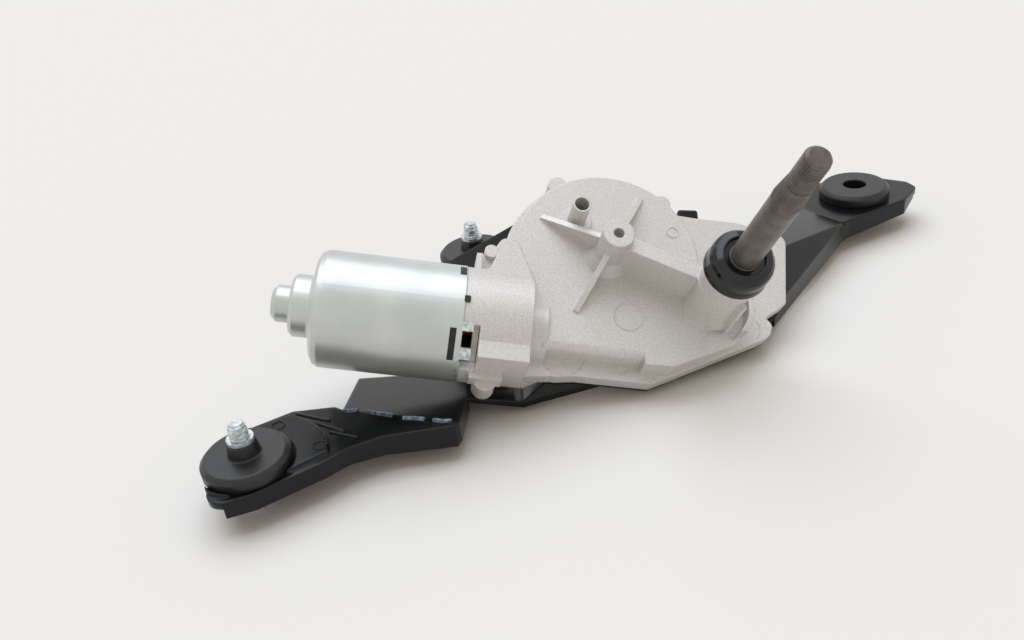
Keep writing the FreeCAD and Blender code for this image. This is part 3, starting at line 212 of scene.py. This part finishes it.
def shaftSteel():
    # Ground steel, phosphated and oiled: brown-grey, darker streaks, thin rust where it tapers.
    finish = {"steel": "#7a746e", "streak": "#68625d", "rust": "#54463e", "streakMm": 4.5,
              "rustFrom": 66, "rustTo": 74, "rustCover": 0.7, "edgeMm": 0.3}
    material, tree, shader, place = startMaterial(
        "phosphatedSteel", {"Metallic": 0.7, "Roughness": 0.42})
    streak, colour = patches(tree, place, finish["streakMm"], (finish["steel"], finish["streak"]),
                             detail=5, low=0.4, high=0.7)
    up = tilt @ Vector((0, 0, 1))
    along = addNode(tree, "ShaderNodeVectorMath", {1: up}, {0: place}, operation="DOT_PRODUCT")
    rusty = addNode(tree, "ShaderNodeMapRange",
                    {"From Min": (finish["rustFrom"] - lean["sealTop"]) * mm,
                     "From Max": (finish["rustTo"] - lean["sealTop"]) * mm,
                     "To Max": finish["rustCover"]}, {"Value": along.outputs["Value"]})
    amount = addNode(tree, "ShaderNodeMath", None, {0: rusty.outputs[0], 1: streak},
                     operation="MULTIPLY")
    # for colours the node mixes its sockets 6 and 7 into output 2
    mixed = addNode(tree, "ShaderNodeMix", {7: linear(finish["rust"])},
                    {"Factor": amount.outputs[0], 6: colour}, data_type="RGBA")
    tree.links.new(mixed.outputs[2], shader.inputs["Base Color"])
    roughen(tree, shader, streak, strength=0.08, depthInMm=0.04, edgeInMm=finish["edgeMm"])
    return material


def innerFinish(name, colours, patchMm, sockets):
    # Parts inside: one colour that drifts to another over patches, with a faint relief.
    material, tree, shader, place = startMaterial(name, sockets)
    patch, mixed = patches(tree, place, patchMm, colours, detail=4, low=0.4, high=0.7)
    tree.links.new(mixed, shader.inputs["Base Color"])
    roughen(tree, shader, patch, strength=0.1, depthInMm=0.1)
    return material


finishes = {
    "cast_aluminium": castAluminium(), "zinc_steel": zincPlate(), "black_steel": blackCoat(),
    "rubber": mouldedRubber(), "seal": sealNylon(), "shaft_steel": shaftSteel(),
    "bronze": innerFinish("sinteredBronze", ("#9a7247", "#b08a5a"), 0.8,
                          {"Metallic": 0.8, "Roughness": 0.5}),
    "plain_steel": innerFinish("groundSteel", ("#a5a5a6", "#8d8d90"), 2.5,
                               {"Metallic": 0.9, "Roughness": 0.3}),
    "gear_plastic": innerFinish("mouldedAcetal", ("#e4dfd2", "#d6d0c0"), 3.0, {"Roughness": 0.45}),
    "core_steel": innerFinish("stackedCoreSteel", ("#5d5e63", "#494a4f"), 0.5,
                              {"Metallic": 0.8, "Roughness": 0.5}),
    "copper": innerFinish("enamelledCopper", ("#b5652f", "#94501f"), 0.6,
                          {"Metallic": 0.8, "Roughness": 0.35}),
    "magnet": innerFinish("pressedFerrite", ("#303134", "#3c3d40"), 1.2, {"Roughness": 0.7}),
    "carbon": innerFinish("pressedCarbon", ("#232324", "#303031"), 0.6, {"Roughness": 0.6}),
    "white_plastic": innerFinish("mouldedWhiteNylon", ("#d9d8d0", "#cbcac1"), 3.0,
                                 {"Roughness": 0.5}),
    "black_plastic": innerFinish("mouldedBlackNylon", ("#18191b", "#222325"), 1.0,
                                 {"Roughness": 0.45}),
}
threadFinish = brightZinc()
# painted bluish highlight for the left leg's dashes
beadHighlightFinish = paintedSheenCoat()
# dark sheets for the can's slot and notches: black plastic darkened by painted shade
slotShadeFinish = innerFinish("shadowedBlackPlastic", ("#101012", "#1c1c1e"), 1.5, {"Roughness": 0.6})
for part in frame["record"]["subparts"]:
    target = nodes[part["node"]].data
    target.materials.clear()
    target.materials.append(finishes[part["material_slot"]])
for stud in ("mount_stud_left", "mount_stud_rear"):
    nodes[stud].data.materials[0] = threadFinish
print("stage: finishes set on", len(nodes), "parts")


# Pieces that repeat or follow a path are grown by Geometry Nodes, in mm, and kept as plain meshes.

flats = {"turn": 28, "ridge": 6, "knurl": 4, "wire": 8, "corner": 3, "ring": 32, "flange": 28}
hexReach = 0.5774  # a hexagon's corner radius over its width across flats
sharpAngle = math.radians(40)  # edges sharper than this stay hard


def newTree(name, sizes):
    tree = bpy.data.node_groups.new(name, "GeometryNodeTree")
    tree.interface.new_socket("Start", in_out="INPUT", socket_type="NodeSocketGeometry")
    for label, kind in sizes.items():
        tree.interface.new_socket(label, in_out="INPUT", socket_type="NodeSocket" + kind)
    tree.interface.new_socket("Grown", in_out="OUTPUT", socket_type="NodeSocketGeometry")
    return tree, tree.nodes.new("NodeGroupInput").outputs


def endTree(tree, inputs, geometry):
    real = addNode(tree, "GeometryNodeRealizeInstances", None, {"Geometry": geometry})
    finished = addNode(tree, "GeometryNodeSetMaterial", None,
                       {"Geometry": real.outputs[0], "Material": inputs["Material"]})
    output = tree.nodes.new("NodeGroupOutput")
    tree.links.new(finished.outputs[0], output.inputs[0])
    return tree


def threadTree():
    # a round-crested ridge wound up the Z axis
    tree, inputs = newTree("threadRidge", {"Turns": "Float", "Low Radius": "Float",
                                           "High Radius": "Float", "Height": "Float",
                                           "Ridge": "Float", "Material": "Material"})
    winding = addNode(tree, "GeometryNodeCurveSpiral", {"Resolution": flats["turn"]},
                      {"Rotations": inputs["Turns"], "Start Radius": inputs["Low Radius"],
                       "End Radius": inputs["High Radius"], "Height": inputs["Height"]})
    section = addNode(tree, "GeometryNodeCurvePrimitiveCircle", {"Resolution": flats["ridge"]},
                      {"Radius": inputs["Ridge"]})
    ridge = addNode(tree, "GeometryNodeCurveToMesh", {"Fill Caps": True},
                    {"Curve": winding.outputs[0], "Profile Curve": section.outputs[0]})
    return endTree(tree, inputs, ridge.outputs[0])


def knurlTree():
    # straight ridges round the Z axis, each leaning in with the taper
    tree, inputs = newTree("knurlRidges", {"Count": "Int", "Low End": "Vector",
                                           "High End": "Vector", "Ridge": "Float",
                                           "Material": "Material"})
    line = addNode(tree, "GeometryNodeCurvePrimitiveLine", None,
                   {"Start": inputs["Low End"], "End": inputs["High End"]})
    section = addNode(tree, "GeometryNodeCurvePrimitiveCircle", {"Resolution": flats["knurl"]},
                      {"Radius": inputs["Ridge"]})
    ridge = addNode(tree, "GeometryNodeCurveToMesh", {"Fill Caps": True},
                    {"Curve": line.outputs[0], "Profile Curve": section.outputs[0]})
    points = addNode(tree, "GeometryNodePoints", None, {"Count": inputs["Count"]})
    index = addNode(tree, "GeometryNodeInputIndex")
    turn = addNode(tree, "ShaderNodeMath", {0: 2 * math.pi}, {1: inputs["Count"]},
                   operation="DIVIDE")
    angle = addNode(tree, "ShaderNodeMath", None, {0: index.outputs[0], 1: turn.outputs[0]},
                    operation="MULTIPLY")
    spin = addNode(tree, "ShaderNodeCombineXYZ", None, {"Z": angle.outputs[0]})
    placed = addNode(tree, "GeometryNodeInstanceOnPoints", None,
                     {"Points": points.outputs[0], "Instance": ridge.outputs[0],
                      "Rotation": spin.outputs[0]})
    return endTree(tree, inputs, placed.outputs[0])


def wireTree():
    # a round wire along the start's edges, its corners rounded
    tree, inputs = newTree("roundWire", {"Wire": "Float", "Corner": "Float",
                                         "Material": "Material"})
    path = addNode(tree, "GeometryNodeMeshToCurve", None, {"Mesh": inputs["Start"]})
    rounded = addNode(tree, "GeometryNodeFilletCurve", {"Count": flats["corner"]},
                      {"Curve": path.outputs[0], "Radius": inputs["Corner"]}, mode="POLY")
    section = addNode(tree, "GeometryNodeCurvePrimitiveCircle", {"Resolution": flats["wire"]},
                      {"Radius": inputs["Wire"]})
    wire = addNode(tree, "GeometryNodeCurveToMesh", {"Fill Caps": True},
                   {"Curve": rounded.outputs[0], "Profile Curve": section.outputs[0]})
    return endTree(tree, inputs, wire.outputs[0])


def ringTree():
    # a low round ring on each point of the start
    tree, inputs = newTree("moulderRings", {"Radius": "Float", "Wire": "Float",
                                            "Material": "Material"})
    circle = addNode(tree, "GeometryNodeCurvePrimitiveCircle", {"Resolution": flats["ring"]},
                     {"Radius": inputs["Radius"]})
    section = addNode(tree, "GeometryNodeCurvePrimitiveCircle", {"Resolution": flats["wire"]},
                      {"Radius": inputs["Wire"]})
    ring = addNode(tree, "GeometryNodeCurveToMesh", None,
                   {"Curve": circle.outputs[0], "Profile Curve": section.outputs[0]})
    placed = addNode(tree, "GeometryNodeInstanceOnPoints", None,
                     {"Points": inputs["Start"], "Instance": ring.outputs[0]})
    return endTree(tree, inputs, placed.outputs[0])


def screwTree():
    # a hexagon head on a round flange at each point of the start, facing down
    tree, inputs = newTree("flangeHeads", {"Across": "Float", "Head": "Float", "Flange": "Float",
                                           "Flange Wall": "Float", "Material": "Material"})
    across = addNode(tree, "ShaderNodeMath", {1: hexReach}, {0: inputs["Across"]},
                     operation="MULTIPLY")
    head = addNode(tree, "GeometryNodeMeshCylinder", {"Vertices": 6},
                   {"Radius": across.outputs[0], "Depth": inputs["Head"]})
    half = addNode(tree, "ShaderNodeMath", {1: -0.5}, {0: inputs["Head"]}, operation="MULTIPLY")
    below = addNode(tree, "ShaderNodeCombineXYZ", None, {"Z": half.outputs[0]})
    hung = addNode(tree, "GeometryNodeTransform", None,
                   {"Geometry": head.outputs[0], "Translation": below.outputs[0]})
    flange = addNode(tree, "GeometryNodeMeshCylinder", {"Vertices": flats["flange"]},
                     {"Radius": inputs["Flange"], "Depth": inputs["Flange Wall"]})
    both = addNode(tree, "GeometryNodeJoinGeometry")
    tree.links.new(hung.outputs[0], both.inputs[0])
    tree.links.new(flange.outputs[0], both.inputs[0])
    placed = addNode(tree, "GeometryNodeInstanceOnPoints", None,
                     {"Points": inputs["Start"], "Instance": both.outputs[0]})
    return endTree(tree, inputs, placed.outputs[0])


def grown(name, tree, sizes, material, places, body, points=(), paths=()):
    # the tree runs once on the points and paths, and a copy for each place joins one plain mesh
    spots = [tuple(point) for point in points]
    edges = []
    for path in paths:
        first = len(spots)
        spots += [tuple(point) for point in path]
        edges += [(first + step, first + step + 1) for step in range(len(path) - 1)]
    startMesh = bpy.data.meshes.new(name + "Start")
    startMesh.from_pydata(spots, edges, [])
    start = bpy.data.objects.new(name + "Start", startMesh)
    modifier = start.modifiers.new("grow", "NODES")
    modifier.node_group = tree
    for item in tree.interface.items_tree:
        if item.in_out == "INPUT" and item.name in sizes:
            modifier[item.identifier] = sizes[item.name]
        elif item.in_out == "INPUT" and item.name == "Material":
            modifier[item.identifier] = material
    scene.collection.objects.link(start)
    ready = start.evaluated_get(bpy.context.evaluated_depsgraph_get())
    mesh = bpy.data.meshes.new_from_object(ready)
    bpy.data.objects.remove(start)
    vertices, faces = [], []
    for place in places:
        first = len(vertices)
        vertices += [place @ vertex.co for vertex in mesh.vertices]
        faces += [[first + index for index in face.vertices] for face in mesh.polygons]
    bpy.data.meshes.remove(mesh)
    return keptPiece(name, vertices, faces, material, body)


def keptPiece(name, vertices, faces, material, body):
    mesh = bpy.data.meshes.new(name)
    mesh.from_pydata([tuple(vertex) for vertex in vertices], [], faces)
    mesh.materials.append(material)
    mesh.shade_smooth()
    mesh.set_sharp_from_angle(angle=sharpAngle)
    piece = bpy.data.objects.new(name, mesh)
    scene.collection.objects.link(piece)
    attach(piece, body)
    return piece


ridges = threadTree()
knurls = knurlTree()
wires = wireTree()
rings = ringTree()
screws = screwTree()

# Threads on the two studs and on the shaft's end, and the knurl below it

studs = {"places": ((-126.5, -61.1), (-53.2, 70.2)), "base": -24.0, "low": 6.4, "high": 9.8,
         "tip": 11.9, "radius": 2.95, "tipRadius": 2.15, "ridge": 0.3, "pitch": 1.0}
for label, low, high, lowRadius, highRadius in (
        ("studThreads", studs["low"], studs["high"], studs["radius"], studs["radius"]),
        ("studTipThreads", studs["high"], studs["tip"], studs["radius"], studs["tipRadius"])):
    grown(label, ridges, {"Turns": (high - low) / studs["pitch"], "Low Radius": lowRadius,
                          "High Radius": highRadius, "Height": high - low, "Ridge": studs["ridge"]},
          threadFinish, [mountFrame @ Matrix.Translation((x, y, studs["base"] + low))
                         for x, y in studs["places"]], "housing")

shaftEnd = {"low": 82.0, "high": 94.4, "radius": 3.95, "ridge": 0.3, "pitch": 1.25}
threadHeight = shaftEnd["high"] - shaftEnd["low"]
grown("shaftThread", ridges,
      {"Turns": threadHeight / shaftEnd["pitch"], "Low Radius": shaftEnd["radius"],
       "High Radius": shaftEnd["radius"], "Height": threadHeight, "Ridge": shaftEnd["ridge"]},
      finishes["shaft_steel"], [shaftFrame @ Matrix.Translation((0, 0, shaftEnd["low"]))],
      "output")

knurl = {"count": 36, "low": 72.8, "high": 81.2, "lowRadius": 4.9, "highRadius": 4.1, "ridge": 0.28}
grown("shaftKnurl", knurls,
      {"Count": knurl["count"], "Low End": (knurl["lowRadius"], 0, knurl["low"]),
       "High End": (knurl["highRadius"], 0, knurl["high"]), "Ridge": knurl["ridge"]},
      finishes["shaft_steel"], [shaftFrame], "output")
print("stage: threads and knurl made")

# Casting marks: round marks of the die's pins, and thin lines of flash where the die parted

marks = {"pinMarksWide": {"radius": 7.8, "wire": 0.28, "at": ((-13, -36, -9),)},
         "pinMarksSmall": {"radius": 2.1, "wire": 0.28, "at": ((7.7, -39.2, -9), (24, 14, 0))},
         "ejectorMarks": {"radius": 5.2, "wire": 0.35, "at": ((8.2, -22.4, 0),)}}
for label, mark in marks.items():
    grown(label, rings, {"Radius": mark["radius"], "Wire": mark["wire"]},
          finishes["cast_aluminium"], [gearFrame], "housing", points=mark["at"])
flash = {"wire": 0.22, "corner": 0.5, "lines": (
    ((28.3, -12.7, 16.8), (28.6, -14.6, 17.0), (29.1, -16.7, 17.4), (29.8, -18.1, 17.4),
     (29.8, -18.1, 14.6)),
    ((58.7, -14.1, -9.0), (59.8, -16.4, -9.0), (59.7, -18.8, -9.0), (58.5, -20.5, -9.0)))}
grown("flashLines", wires, {"Wire": flash["wire"], "Corner": flash["corner"]},
      finishes["cast_aluminium"], [gearFrame], "housing", paths=flash["lines"])

# Screws that hold the bracket's plate under the cover

plateScrews = {"at": ((-10, -33, -19.2), (-27, 9, -19.2), (5, 29, -19.2)), "across": 8.0,
               "head": 3.6, "flange": 5.6, "flangeWall": 1.2}
grown("plateScrews", screws, {"Across": plateScrews["across"], "Head": plateScrews["head"],
                              "Flange": plateScrews["flange"],
                              "Flange Wall": plateScrews["flangeWall"]},
      threadFinish, [gearFrame], "housing", points=plateScrews["at"])
print("stage: casting marks and screws made")

# The can's rim: slots and notches that show black plastic darkened by painted shade, bright spots
# of bare strip, and tabs

can = {"axisY": -28.6, "axisZ": -8.8, "radius": 20.6, "sunk": 0.4, "steps": 12}


def canPatch(name, ends, angles, proud, material):
    # a thin curved plate on the can, angles about the motor axis from the back, 90 at the top
    corners = []
    for lift in (-can["sunk"], proud):
        for step in range(can["steps"] + 1):
            angle = math.radians(angles[0] + (angles[1] - angles[0]) * step / can["steps"])
            reach = can["radius"] + lift
            for x in ends:
                corners.append(gearFrame @ Vector((x, can["axisY"] + reach * math.cos(angle),
                                                   can["axisZ"] + reach * math.sin(angle))))
    row = 2 * (can["steps"] + 1)
    faces = []
    for step in range(can["steps"]):
        low = 2 * step
        high = low + row
        faces += [(low, low + 1, low + 3, low + 2), (high + 2, high + 3, high + 1, high),
                  (low, low + 2, high + 2, high), (low + 3, low + 1, high + 1, high + 3)]
    last = 2 * can["steps"]
    faces += [(0, row, row + 1, 1), (last + 1, last + row + 1, last + row, last)]
    return keptPiece(name, corners, faces, material, "housing")


for label, ends, angles, proud, material, slotName in (
        ("canSlot", (-54.2, -52.0), (118, 151), 0.12, slotShadeFinish, "black_plastic"),
        ("canNotch", (-50.4, -48.4), (86, 92), 0.3, slotShadeFinish, "black_plastic"),
        ("canNotchLine", (-52.5, -50.3), (42, 59), 0.12, slotShadeFinish, "black_plastic"),
        ("canRimStrip", (-51.2, -49.6), (152, 186), 0.25, threadFinish, "zinc_steel"),
        ("canTabUpper", (-50.2, -46.4), (112, 120), 0.1, threadFinish, "zinc_steel"),
        ("canTabLower", (-50.2, -46.4), (136, 149), 0.1, threadFinish, "zinc_steel")):
    canPatch(label, ends, angles, proud, material)

# The left leg: dashes along its fold in a painted bluish highlight, pressed ribs beside the pad,
# and two round marks

legMarks = {
    "top": -29.0, "padTop": -28.1, "dashWire": 0.85, "ribWire": 0.7, "corner": 1.0, "disc": 2.3,
    "discWire": 0.35,
    "dashes": (((-98.2, -36.7), (-92.8, -37.3)), ((-89.1, -39.0), (-84.7, -40.6), (-80.0, -42.6)),
               ((-76.4, -44.7), (-72.6, -45.4), (-68.7, -46.7)),
               ((-65.9, -47.7), (-62.5, -48.9), (-59.4, -49.2))),
    "ribs": (((-114.7, -35.2), (-102.1, -41.6)), ((-108.5, -41.0), (-95.9, -48.9)),
             ((-101.2, -48.0), (-90.9, -53.1))),
    "discs": ((-103.2, -56.0), (-119.9, -42.5)),
}
for label, paths, wire, material in (
        ("legDashes", legMarks["dashes"], legMarks["dashWire"], beadHighlightFinish),
        ("legRibs", legMarks["ribs"], legMarks["ribWire"], finishes["black_steel"])):
    grown(label, wires, {"Wire": wire, "Corner": legMarks["corner"]}, material, [mountFrame],
          "housing",
          paths=[[(x, y, legMarks["top"]) for x, y in path] for path in paths])
grown("legDiscs", rings, {"Radius": legMarks["disc"], "Wire": legMarks["discWire"]},
      finishes["black_steel"], [mountFrame], "housing",
      points=[(x, y, legMarks["padTop"]) for x, y in legMarks["discs"]])
print("stage: can's rim and leg's marks made")

# Floor, light and camera

table = {"colour": "#f3f2f0", "wide": 6.0, "roughness": 0.9, "gloss": 0.1}
bpy.ops.mesh.primitive_plane_add(size=table["wide"], location=(0, 0, cadBox[0][2]))
floor = bpy.context.object
floor.name = "tableTop"
floorMaterial = startMaterial("paleTable", {"Base Color": linear(table["colour"]),
                                            "Roughness": table["roughness"],
                                            "Specular IOR Level": table["gloss"]})[0]
floor.data.materials.append(floorMaterial)

# The room's light is warm, so shadows go beige, and what the camera and the gloss see of the room
# is plain white.
room = {"seen": "#efefee", "light": "#f4e8d8", "strength": 0.56, "seenStrength": 1.0}
world = bpy.data.worlds.new("paleRoom")
scene.world = world
world.use_nodes = True
worldTree = world.node_tree
background = worldTree.nodes["Background"]
background.inputs["Color"].default_value = linear(room["light"])
background.inputs["Strength"].default_value = room["strength"]
rays = addNode(worldTree, "ShaderNodeLightPath")
straight = addNode(worldTree, "ShaderNodeMath", None,
                   {0: rays.outputs["Is Camera Ray"], 1: rays.outputs["Is Glossy Ray"]},
                   operation="MAXIMUM")
seenBy = addNode(worldTree, "ShaderNodeMath", None,
                 {0: straight.outputs[0], 1: rays.outputs["Is Transmission Ray"]},
                 operation="MAXIMUM")
seen = addNode(worldTree, "ShaderNodeBackground",
               {"Color": linear(room["seen"]), "Strength": room["seenStrength"]})
mixedRoom = addNode(worldTree, "ShaderNodeMixShader", None,
                    {0: seenBy.outputs[0], 1: background.outputs[0], 2: seen.outputs[0]})
worldTree.links.new(mixedRoom.outputs[0], worldTree.nodes["World Output"].inputs["Surface"])

sky = {"from": (-0.12, 0.3, 0.95), "energy": 1.9, "spread": 65, "colour": "#e6f1ff"}
light = bpy.data.lights.new("windowLight", "SUN")
light.energy = sky["energy"]
light.angle = math.radians(sky["spread"])
light.color = linear(sky["colour"])[:3]
window = bpy.data.objects.new("windowLight", light)
window.rotation_euler = Vector(sky["from"]).to_track_quat("Z", "Y").to_euler()
scene.collection.objects.link(window)

# The photograph's viewing angle: lens and place fitted to circles and edges of the real object.
view = {"at": (-0.0643, -0.28356, 0.152), "right": (0.99299, -0.01966, -0.11655),
        "up": (0.11037, 0.5069, 0.85491), "back": (0.04227, -0.86178, 0.50551),
        "lens": 34.45, "nearest": 0.01}
cameraData = bpy.data.cameras.new("photoCamera")
cameraData.lens = view["lens"]
cameraData.clip_start = view["nearest"]
camera = bpy.data.objects.new("photoCamera", cameraData)
axes = Matrix((view["right"], view["up"], view["back"])).transposed()
camera.matrix_world = Matrix.Translation(view["at"]) @ axes.to_4x4()
scene.collection.objects.link(camera)
scene.camera = camera
scene.view_settings.view_transform = "Standard"
print("stage: table, light and camera set")
